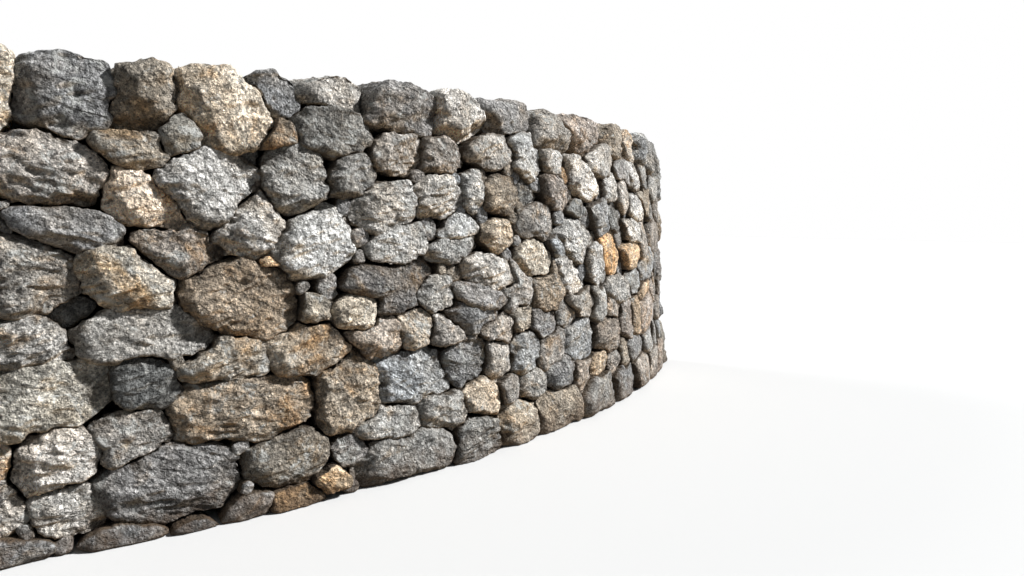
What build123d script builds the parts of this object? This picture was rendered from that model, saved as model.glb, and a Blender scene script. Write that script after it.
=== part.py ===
from build123d import *

import os
from math import copysign, cos, degrees, pi, radians, sin
from typing import NamedTuple

# Dry stone wall: a curved, free-standing wall of rounded granite fieldstones, laid without mortar.
# Two leaning faces of stone hold a core of packed rubble and stand on a course of wider base
# stones. Cap stones lie across the top, and a stack of large quoins closes each end.
# Millimetres, +Z up. The convex face looks towards -Y, left and right are as seen from there,
# and the origin is on the ground in the middle of the wall's box.

# The wall as a whole
FACE_RADIUS = 5455      # plan radius of the convex face, at the top of the wall
WALL_LENGTH = 5704      # along the convex face, at the top of the wall
WALL_HEIGHT = 1640      # ground to the crown of the highest cap stone
TOP_WIDTH = 480         # front to back at that level
FRONT_BATTER = 0.04     # the front face leans back by this share of its height
BACK_BATTER = 0.08      # and the back face by this one

# Faces and core
FACE_DEPTH = 210        # depth of the stones that make each face

# Base course
BASE_HEIGHT = 190
BASE_STEP = 25          # the base course stands out from both faces by this
BASE_JOINT = 10         # open joint round each base stone
BASE_ARRIS = 18         # worn edge of a base stone's outer side
BASE_SHARES = (0.36, 0.28, 0.36)    # how the stones of one row divide a bay

# Cap course
CAP_JOINT = 12          # open joint between two cap stones
CAP_SIDES = 12          # sides of a boulder's outline
CAP_SEAT = 60           # a boulder's round underside goes this far below its bed, where it is cut flat
CAP_WAIST = 0.35        # height of its widest outline, as a share of its height
CAP_SHOULDER = 0.75
UNDERSIDE_SIZE = 0.85   # size of its outlines, as shares of the widest
SHOULDER_SIZE = 0.93
CROWN_SIZE = 0.7

# Wall ends
QUOIN_ARRIS = 22        # worn edge round a quoin
QUOIN_DROP = 35         # top of both ends, below the highest cap stone


class CapStone(NamedTuple):
    share: float        # its part of the cap course's length, weighed against the others'
    height: float       # bed to crown
    drop: float         # crown below the highest cap stone's
    lean: float         # degrees, the crown's fall towards the right
    squareness: float   # power of the outline: 2 is an ellipse, more is squarer


class Quoin(NamedTuple):
    height: float
    length: float       # along the front face, into the wall
    setback: float      # of its end face, from the line of the wall's end


# Cap stones of the six bays, from left to right
CAP_STONES = (
    (CapStone(310, 230, 30, 2, 3.6), CapStone(250, 190, 45, -3, 3.2), CapStone(300, 240, 25, 1, 3.6)),
    (CapStone(260, 255, 35, 2, 4.2), CapStone(190, 215, 50, 4, 3.0), CapStone(300, 300, 27, 6, 3.6)),
    (CapStone(110, 160, 40, 7, 3.0), CapStone(260, 150, 26, 2, 3.6), CapStone(380, 210, 10, 3, 4.0)),
    (CapStone(295, 205, 13, 2, 3.6), CapStone(305, 170, 0, 0, 4.2), CapStone(345, 195, 35, 2, 3.6)),
    (CapStone(425, 210, 30, 1, 4.0), CapStone(530, 185, 45, 0, 4.4)),
    (CapStone(300, 165, 50, 0, 3.4), CapStone(330, 230, 42, -2, 3.8)),
)

# Quoins under the top one, from the ground up, and the top one's length and setback
LEFT_QUOINS = (Quoin(320, 340, 0), Quoin(290, 230, 16), Quoin(330, 350, 6), Quoin(280, 240, 20))
RIGHT_QUOINS = (Quoin(310, 350, 0), Quoin(300, 240, 18), Quoin(265, 340, 8), Quoin(290, 230, 22))
LEFT_TOP_QUOIN = (300, 8)
RIGHT_TOP_QUOIN = (310, 12)


def front_radius(level):
    return FACE_RADIUS + FRONT_BATTER * (WALL_HEIGHT - level)


def back_radius(level):
    return FACE_RADIUS - TOP_WIDTH - BACK_BATTER * (WALL_HEIGHT - level)


def turn(length):
    """Degrees of the wall's arc that a length along the front face takes."""
    return degrees(length / FACE_RADIUS)


def whole_stack(lower_quoins, top_quoin):
    """The quoins of one end, with a top stone that reaches the end's height."""
    top_height = WALL_HEIGHT - QUOIN_DROP - sum(quoin.height for quoin in lower_quoins)
    return lower_quoins + (Quoin(top_height, *top_quoin),)


# Sizes worked out from those above
LEFT_STACK = whole_stack(LEFT_QUOINS, LEFT_TOP_QUOIN)
RIGHT_STACK = whole_stack(RIGHT_QUOINS, RIGHT_TOP_QUOIN)
WALL_END = turn(WALL_LENGTH) / 2
CAP_COUNT = sum(len(bay) for bay in CAP_STONES)
CAP_RUN = WALL_LENGTH - LEFT_STACK[-1].length - RIGHT_STACK[-1].length - (CAP_COUNT + 1) * CAP_JOINT
CAP_SHARES = sum(stone.share for bay in CAP_STONES for stone in bay)
BASE_FRONT = front_radius(BASE_HEIGHT) + BASE_STEP
BASE_BACK = back_radius(BASE_HEIGHT) - BASE_STEP
# The box ends at the back where the worn arris of the lowest quoins' back corners starts
BACK_CORNER = radians(WALL_END) - QUOIN_ARRIS / BASE_BACK
ARC_CENTRE_Y = (BASE_FRONT + BASE_BACK * cos(BACK_CORNER)) / 2
ARC_AXIS = Axis((0, ARC_CENTRE_Y, 0), (0, 0, 1))


class Place(NamedTuple):
    """A cap stone, its length and the piece of the arc under it, in degrees from the middle."""
    stone: CapStone
    length: float
    start: float
    end: float

    def bed(self):
        return WALL_HEIGHT - self.stone.drop - self.stone.height


def place_bays():
    """Lay the cap stones out from left to right. A bay's masonry meets the next in mid-joint."""
    run = LEFT_STACK[-1].length + CAP_JOINT / 2
    bays = []
    for bay in CAP_STONES:
        places = []
        for stone in bay:
            length = CAP_RUN * stone.share / CAP_SHARES
            next_run = run + length + CAP_JOINT
            places.append(Place(stone, length, turn(run) - WALL_END, turn(next_run) - WALL_END))
            run = next_run
        bays.append(places)
    return bays


def radial_plane(angle):
    """Upright plane on the arc's axis, with its x axis pointing out through the front face."""
    a = radians(angle)
    return Plane(origin=(0, ARC_CENTRE_Y, 0), x_dir=(sin(a), -cos(a), 0), z_dir=(-cos(a), -sin(a), 0))


def front_section(bottom, top):
    return (
        (front_radius(bottom) - FACE_DEPTH, bottom),
        (front_radius(bottom), bottom),
        (front_radius(top), top),
        (front_radius(top) - FACE_DEPTH, top),
    )


def back_section(bottom, top):
    return (
        (back_radius(bottom), bottom),
        (back_radius(bottom) + FACE_DEPTH, bottom),
        (back_radius(top) + FACE_DEPTH, top),
        (back_radius(top), top),
    )


def core_section(bottom, top):
    return (
        (back_radius(bottom) + FACE_DEPTH, bottom),
        (front_radius(bottom) - FACE_DEPTH, bottom),
        (front_radius(top) - FACE_DEPTH, top),
        (back_radius(top) + FACE_DEPTH, top),
    )


def quoin_notches():
    """Bottom, top and angles of the space that each quoin takes at the two ends."""
    notches = []
    for stack, side in ((LEFT_STACK, -1), (RIGHT_STACK, 1)):
        level = 0
        for quoin in stack:
            inner = side * (WALL_END - turn(quoin.length))
            outer = side * WALL_END
            notches.append((level, level + quoin.height, min(inner, outer), max(inner, outer)))
            level += quoin.height
    return notches


def make_masonry(section, places):
    """One bay of a face or of the core, up to the beds of its cap stones."""
    first_turn = places[0].start
    last_turn = places[-1].end
    longest = turn(max(quoin.length for quoin in LEFT_STACK + RIGHT_STACK))
    shortest = turn(min(quoin.length for quoin in LEFT_STACK + RIGHT_STACK))
    at_left_end = first_turn < longest - WALL_END
    at_right_end = last_turn > WALL_END - longest
    with BuildPart() as masonry:
        for place in places:
            start = shortest - WALL_END if at_left_end and place is places[0] else place.start
            end = WALL_END - shortest if at_right_end and place is places[-1] else place.end
            with BuildSketch(radial_plane(start)):
                Polygon(*section(BASE_HEIGHT, place.bed()), align=None)
            revolve(axis=ARC_AXIS, revolution_arc=end - start)
        # The quoins bond into the end bays, so their places are cut out
        if at_left_end or at_right_end:
            for bottom, top, start, end in quoin_notches():
                if start < last_turn + longest and end > first_turn - longest:
                    with BuildSketch(radial_plane(start)):
                        Polygon(
                            (BASE_BACK - BASE_STEP, bottom),
                            (BASE_FRONT + BASE_STEP, bottom),
                            (BASE_FRONT + BASE_STEP, top),
                            (BASE_BACK - BASE_STEP, top),
                            align=None,
                        )
                    revolve(axis=ARC_AXIS, revolution_arc=end - start, mode=Mode.SUBTRACT)
    return masonry.part


def make_base_stones(bay_number, places):
    """Two rows of base stones under one bay, back to back, with open joints between them."""
    gap = turn(BASE_JOINT)
    start = places[0].start
    end = places[-1].end
    if bay_number == 1:
        start = turn(LEFT_STACK[0].length + BASE_JOINT / 2) - WALL_END
    if bay_number == len(CAP_STONES):
        end = WALL_END - turn(RIGHT_STACK[0].length + BASE_JOINT / 2)
    middle = (BASE_FRONT + BASE_BACK) / 2
    rows = (
        (BASE_FRONT, middle + BASE_JOINT / 2, -BASE_ARRIS),
        (BASE_BACK, middle - BASE_JOINT / 2, BASE_ARRIS),
    )
    with BuildPart() as base:
        for outer, inner, arris in rows:
            stone_start = start
            for share in BASE_SHARES:
                stone_end = stone_start + share * (end - start)
                with BuildSketch(radial_plane(stone_start + gap / 2)):
                    Polygon(
                        (inner, 0),
                        (outer, 0),
                        (outer, BASE_HEIGHT - BASE_ARRIS),
                        (outer + arris, BASE_HEIGHT),
                        (inner, BASE_HEIGHT),
                        align=None,
                    )
                revolve(axis=ARC_AXIS, revolution_arc=stone_end - stone_start - gap)
                stone_start = stone_end
    return base.part


def boulder_plane(place, level):
    """Plane at a cap stone's middle, x along the wall and falling by its lean, y to the back."""
    a = radians((place.start + place.end) / 2)
    fall = radians(place.stone.lean)
    radius = (front_radius(level) + back_radius(level)) / 2
    return Plane(
        origin=(radius * sin(a), ARC_CENTRE_Y - radius * cos(a), level),
        x_dir=(cos(a) * cos(fall), sin(a) * cos(fall), -sin(fall)),
        z_dir=(cos(a) * sin(fall), sin(a) * sin(fall), cos(fall)),
    )


def boulder_outline(place, rise, size):
    """Rounded outline of a boulder, which narrows towards the back as the wall's arc does."""
    level = place.bed() + rise
    middle = (front_radius(level) + back_radius(level)) / 2
    half_depth = (front_radius(level) - back_radius(level)) / 2
    power = 2 / place.stone.squareness
    points = []
    for side in range(CAP_SIDES):
        a = 2 * pi * (side + 0.5) / CAP_SIDES
        across = copysign(abs(sin(a)) ** power, sin(a))
        along = copysign(abs(cos(a)) ** power, cos(a))
        y = half_depth * across
        x = place.length / 2 * along * (middle - y) / FACE_RADIUS
        points.append(boulder_plane(place, level).from_local_coords((size * x, size * y, 0)))
    return points


def make_boulder(place):
    """One cap stone: the hull of its outlines, cut flat where it lies on its bed."""
    height = place.stone.height
    outlines = (
        (-CAP_SEAT, UNDERSIDE_SIZE),
        (CAP_WAIST * height, 1),
        (CAP_SHOULDER * height, SHOULDER_SIZE),
        (height, CROWN_SIZE),
    )
    with BuildPart() as boulder:
        ConvexPolyhedron([point for rise, size in outlines for point in boulder_outline(place, rise, size)])
        split(bisect_by=Plane.XY.offset(place.bed()), keep=Keep.TOP)
    return boulder.part


def make_cap_stones(places):
    """The boulders that lie across one bay."""
    with BuildPart() as caps:
        for place in places:
            add(make_boulder(place))
    return caps.part


def make_quoin(quoin, level, side):
    """One end stone, through the whole thickness. Side is -1 at the left end and 1 at the right."""
    top = level + quoin.height
    inner = side * (WALL_END - turn(quoin.length))
    outer = side * (WALL_END - turn(quoin.setback))
    start = min(inner, outer)
    if level == 0:
        section = ((BASE_BACK, 0), (BASE_FRONT, 0), (BASE_FRONT, top), (BASE_BACK, top))
    else:
        section = (
            (back_radius(level), level),
            (front_radius(level), level),
            (front_radius(top), top),
            (back_radius(top), top),
        )
    with BuildPart() as stone:
        with BuildSketch(radial_plane(start)):
            Polygon(*section, align=None)
        revolve(axis=ARC_AXIS, revolution_arc=abs(outer - inner))
        inner_face = stone.faces().filter_by(radial_plane(inner))[0]
        buried = inner_face.edges() + stone.edges().filter_by_position(Axis.Z, 0, 0)
        chamfer([edge for edge in stone.edges() if edge not in buried], QUOIN_ARRIS)
    return stone.part


def save(part, name):
    part.label = name
    export_step(part, f"parts/{name}.step")


os.makedirs("parts", exist_ok=True)

for number, bay_places in enumerate(place_bays(), start=1):
    save(make_base_stones(number, bay_places), f"base_stones_{number}")
    save(make_masonry(front_section, bay_places), f"front_face_{number}")
    save(make_masonry(back_section, bay_places), f"back_face_{number}")
    save(make_masonry(core_section, bay_places), f"hearting_{number}")
    save(make_cap_stones(bay_places), f"cap_stones_{number}")

for end_name, end_stack, end_side in (("left", LEFT_STACK, -1), ("right", RIGHT_STACK, 1)):
    ground = 0
    for number, end_quoin in enumerate(end_stack, start=1):
        save(make_quoin(end_quoin, ground, end_side), f"{end_name}_quoin_{number}")
        ground += end_quoin.height
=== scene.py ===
from dataclasses import dataclass
from functools import partial
from math import cos, pi, radians, sin

import bpy
import numpy as np
from mathutils import Matrix, Vector


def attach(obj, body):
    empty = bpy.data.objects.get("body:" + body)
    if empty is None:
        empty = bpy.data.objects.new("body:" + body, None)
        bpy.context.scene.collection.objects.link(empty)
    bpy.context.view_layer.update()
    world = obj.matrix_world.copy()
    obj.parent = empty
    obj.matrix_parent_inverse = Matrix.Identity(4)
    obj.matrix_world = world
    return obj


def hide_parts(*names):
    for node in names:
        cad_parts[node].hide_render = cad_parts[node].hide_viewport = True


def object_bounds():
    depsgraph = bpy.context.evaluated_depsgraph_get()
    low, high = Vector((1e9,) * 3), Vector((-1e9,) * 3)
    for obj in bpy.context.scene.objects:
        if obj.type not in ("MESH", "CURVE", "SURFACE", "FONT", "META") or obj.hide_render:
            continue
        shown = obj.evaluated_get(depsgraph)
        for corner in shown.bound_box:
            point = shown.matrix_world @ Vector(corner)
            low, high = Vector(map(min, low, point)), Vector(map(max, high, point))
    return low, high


# Dry stone wall. Every stone of the faces, the cap course, the base course and the two ends is
# its own rounded and chipped shape, joined by bay, and each joined mesh replaces the plain solids
# that it stands for. Metres, +Z up. Where the photo shows a stone, its outline follows the photo.
# Elsewhere stones are laid in courses and grow until they meet their neighbours.

# The wall, as in the part's source
FACE_RADIUS = 5.455
WALL_LENGTH = 5.704
WALL_HEIGHT = 1.640
TOP_WIDTH = 0.480
FRONT_BATTER = 0.04
BACK_BATTER = 0.08
BASE_HEIGHT = 0.190
BASE_STEP = 0.025
CAP_JOINT = 0.012
BAY_LENGTHS = (0.896, 0.786, 0.786, 0.981, 0.979, 0.654)

# Cap stones out of the photo's sight, from the end inwards: length, and heights of bed and crown
LEFT_CAPS = ((0.310, 1.380, 1.610), (0.250, 1.405, 1.595))
RIGHT_CAPS = ((0.330, 1.368, 1.598), (0.300, 1.425, 1.590))

# Quoins from the ground up: height, length along the face and setback of the end face
LEFT_QUOINS = (
    (0.320, 0.340, 0.0), (0.290, 0.230, 0.016), (0.330, 0.350, 0.006), (0.280, 0.240, 0.020),
    (0.385, 0.300, 0.008))
RIGHT_QUOINS = (
    (0.310, 0.350, 0.0), (0.300, 0.240, 0.018), (0.265, 0.340, 0.008), (0.290, 0.230, 0.022),
    (0.440, 0.310, 0.012))

# Camera, fitted to the photo
EYE = (-2.401, -3.165, 1.103)
HEADING = radians(46.82)  # to the right of the view along +Y
PITCH = radians(5.39)     # down
AHEAD = (sin(HEADING) * cos(PITCH), cos(HEADING) * cos(PITCH), -sin(PITCH))
LENS = 28                 # millimetres, on a sensor 36 wide
SENSOR = 36
PHOTO_WIDTH = 1024
PHOTO_HEIGHT = 576

# Stones seen in the photo
TRACE_DEPTH = 0.022             # their outlines lie this far behind their crowns
TRACE_REACH = 0.022             # how far they grow to meet each other
TRACE_JOINT = 0.006             # open joint round them, which their outlines leave out too
TRACE_CLOSENESS = 0.35          # right of the middle they grow more and meet closer, by this share a metre
TRACED_BASE_TOP = 0.7 * BASE_HEIGHT     # one whose middle is lower is in the base course

# Stones laid by the script
COURSE_HEIGHTS = (0.12, 0.24)   # least and most
STONE_LENGTHS = (0.8, 2.2)      # least and most, in heights of the course
BASE_LENGTHS = (0.20, 0.42)     # least and most, in the base course
STONE_HEIGHTS = (0.80, 1.25)    # least and most, in heights of the course
COURSE_UNREST = 0.38            # how far stones stray from their course, in heights of it
BASE_UNREST = 0.06
REACH = 0.070                   # how far a stone grows to meet its neighbours
JOINT = 0.010                   # open joint round it
SETTLING_ROUNDS = 3
MOST_OVERLAP = 0.45             # share of a stone that may lie over the given ones
SMALLEST_AREA = 0.004           # of a stone, when it has met its neighbours
SMALLEST_RADIUS = 0.012
LARGEST_RADIUS = 0.36
MOST_RUST = 0.6
RUST_RARITY = 1.5               # above 1, rusty stones are fewer than plain ones
QUOIN_JOINTS = (0.004, 0.006)   # left open under and over a quoin
BLOCK_RUST = 0.3                # the most on a quoin, or on a cap stone that the photo doesn't show

# Their outlines: squareness, where 2 is an ellipse, and unevenness
LAID_SQUARENESS = (2.0, 3.0)
LAID_UNEVENNESS = 0.14
PEBBLE_SQUARENESS = 3.0
CHINK_UNEVENNESS = 0.12
PACKING_UNEVENNESS = 0.08
QUOIN_SQUARENESS = 6.0
CAP_SQUARENESS = 3.6
BLOCK_UNEVENNESS = 0.03         # of quoins and cap stones

# Small stones in the gaps, called chinks, and rubble under the caps
SMALLEST_CHINK = 0.023          # half the width of the narrowest gap that gets one
CHINK_SIZES = (1.2, 0.95)       # half its length and half its height, in half widths of its gap
CHINK_SPACING = 1.7             # to the middle of the next one at least, in the same measure
CHINK_SETBACK = 0.035           # they sit this far back
CHINK_MARGIN = 0.24             # there are none nearer than this to the wall's ends
CHINK_TOP = 1.36                # and none higher than this
CHINK_RUST = 0.4                # the most
PACKING_SIZE = 0.070
PACKING_HEIGHT = 0.066
PACKING_LEVELS = (1.400, 1.430)
PACKING_SETBACKS = (0.19, 0.23)
PACKING_MARGIN = 0.36           # to the wall's ends

# Shapes of the stones
DIRECTIONS = 96                 # points of a stone's outline
CELL = 0.004                    # of the map on which the stones meet
FACE_THICKNESS = 0.17           # front to back of a face stone
CROWNS = (-0.008, 0.014)        # how far one stands back or out
SHOULDER = 0.44                 # depth of its rounded shoulder, as a share of its mean radius
SHOULDER_LIMITS = (0.020, 0.068)
FACE_SQUARENESS = (3.6, 5.6)    # of its shoulder, where 2 is round
FLATTENING = 0.20               # share of its roundness lost per metre to the right, as its face is seen
THROUGH_CROWN = 0.012           # the most that a cap stone or a quoin stands out
CAP_SHOULDER = (0.10, 4.8)      # depth and squareness
END_SHOULDER = (0.07, 4.5)
GRID_LIMITS = (6, 110)          # fewest and most cells across a rounded side
TAIL_START = 0.035              # how far behind its shoulder the tail of a face stone narrows
TAIL_SIZES = (0.96, 0.82)       # there and at its end, as shares of its outline
FACETS = 8                      # flatter faces cut into it
STEEP_FACET = ((0.55, 1.00), (0.10, 0.36))      # lean, and depth as a share of the shoulder's
FLAT_FACET = ((0.08, 0.36), (0.12, 0.36))
STEEP_SHARE = 0.4               # of those that don't look left
FACET_EDGE = 0.0035             # softness of their edges
LOWEST = 0.003                  # of any vertex, above the ground
TINY = 1e-12                    # keeps a division from failing

# Relief of a stone: size and height of its swells, its ledges and its ridges. Ledges and ridges
# follow its bed, which leans a little, and are longer along the bed than across it.
SWELL = (0.150, 0.0080)
LEDGES = ((0.090, 0.0060), (0.050, 0.0035))
RIDGES = ((0.040, 0.0080), (0.020, 0.0042))
BED_LEAN = 0.3
BED_SQUEEZE = (0.75, 1.55)
FULL_RELIEF_RADIUS = 0.10       # a smaller face stone has less
RELIEF_SHARES = (0.75, 1.20)    # and each has its own share of it

# Spacing of the stones' vertices, and how much wider it gets per metre towards the right end
NEAR_SPACING = 0.0065
CAP_SPACING = 0.0105
FAR_SPACING = 0.0147
WIDER_SPACING = 0.25

# Numbers that start the random draws: of the laying, and of the cap stones, which keep their
# looks when the count of the face stones changes. Each stone then has a number of its own.
LAYING_SEED = 41
CAP_SEED = 365

PALETTE = {
    "grey": (0.71, 0.70, 0.68),
    "pale": (0.80, 0.79, 0.77),
    "white": (0.92, 0.91, 0.89),
    "cream": (0.88, 0.835, 0.765),
    "black": (0.50, 0.50, 0.49),
    "dark": (0.60, 0.595, 0.59),
    "umber": (0.615, 0.58, 0.53),
    "blue": (0.73, 0.74, 0.745),
    "warm": (0.73, 0.70, 0.665),
    "tan": (0.79, 0.745, 0.68),
    "pink": (0.77, 0.73, 0.695),
    "brown": (0.66, 0.61, 0.545),
    "rust": (0.77, 0.69, 0.59),
    "apricot": (0.97, 0.86, 0.72),
    "sand": (0.97, 0.915, 0.845),
}
DISPLAY_GAMMA = 2.2
SHADES = (0.90, 1.10)           # darkest and brightest, as shares of a stone's tone
WARMTH = 0.012                  # how much warmer or cooler it is
LICHEN = (0.1, 0.9)             # least and most
GRAIN_TILT = 0.25               # of a stone's grain, in radians
GRAIN_SHIFT = 40                # metres, so that no two stones show the same grain
COMMON_TONES = ("grey", "grey", "pale", "warm", "warm", "tan", "pink", "dark", "blue", "rust")
# Chinks get darker tones: painted shade, as they sit back in the joints
SHADED_CHINK_TONES = ("dark", "dark", "umber")
# Stones of the right end are darker: painted shade over that end
SHADED_RIGHT_END_TONES = ("black", "dark", "umber")

# The photo's cap stones, from left to right: tone, partly the stone's own and partly painted light
# and shade, how rusty the stone is, and its outline in pixels
TRACED_CAPS = {
    "cut by the edge": ("cream", 0.4, (-95, 60), (-85, 42), (-50, 35), (-10, 44), (8, 57), (13, 77),
        (5, 108), (3, 121), (-20, 127), (-70, 129), (-92, 110)),
    "first grey block": ("dark", 0.0, (12, 59), (26, 57), (44, 53), (80, 59), (108, 64), (113, 72),
        (118, 89), (103, 104), (107, 120), (79, 135), (50, 127), (22, 114), (11, 95)),
    "ridged block": ("umber", 0.2, (114, 72), (118, 66), (150, 64), (173, 72), (181, 92), (170, 113),
        (150, 128), (122, 124), (113, 114), (117, 92)),
    "tall cream block": ("cream", 0.25, (183, 68), (197, 65), (231, 68), (258, 87), (275, 122), (264, 143),
        (232, 151), (204, 143), (193, 119), (184, 98)),
    "small grey cap": ("dark", 0.0, (246, 77), (275, 75), (297, 84), (303, 108), (284, 119), (270, 108),
        (256, 85)),
    "layered low cap": ("grey", 0.1, (298, 86), (320, 79), (347, 79), (366, 90), (366, 112), (334, 105),
        (304, 102)),
    "long brown grey cap": ("dark", 0.15, (367, 110), (371, 97), (387, 83), (410, 88), (440, 99),
        (443, 124), (428, 134), (395, 128), (368, 121)),
    "smooth bluish cap": ("white", 0.0, (441, 96), (459, 94), (485, 107), (494, 124), (473, 140),
        (443, 130), (442, 108)),
    "flat tan cap": ("dark", 0.1, (479, 99), (500, 103), (526, 104), (537, 117), (530, 129), (498, 131),
        (486, 108)),
    "grey cap": ("grey", 0.0, (532, 138), (538, 116), (555, 115), (571, 129), (577, 147), (560, 150),
        (536, 146)),
    "grey pink cap": ("pink", 0.1, (562, 117), (581, 118), (602, 127), (609, 139), (586, 151), (574, 140)),
    "pinkish tan cap": ("umber", 0.2, (607, 130), (618, 128), (626, 133), (627, 158), (620, 160),
        (611, 155)),
    "last cap seen": ("sand", 0.3, (627, 134), (637, 137), (641, 143), (641, 157), (628, 159)),
}
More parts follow.
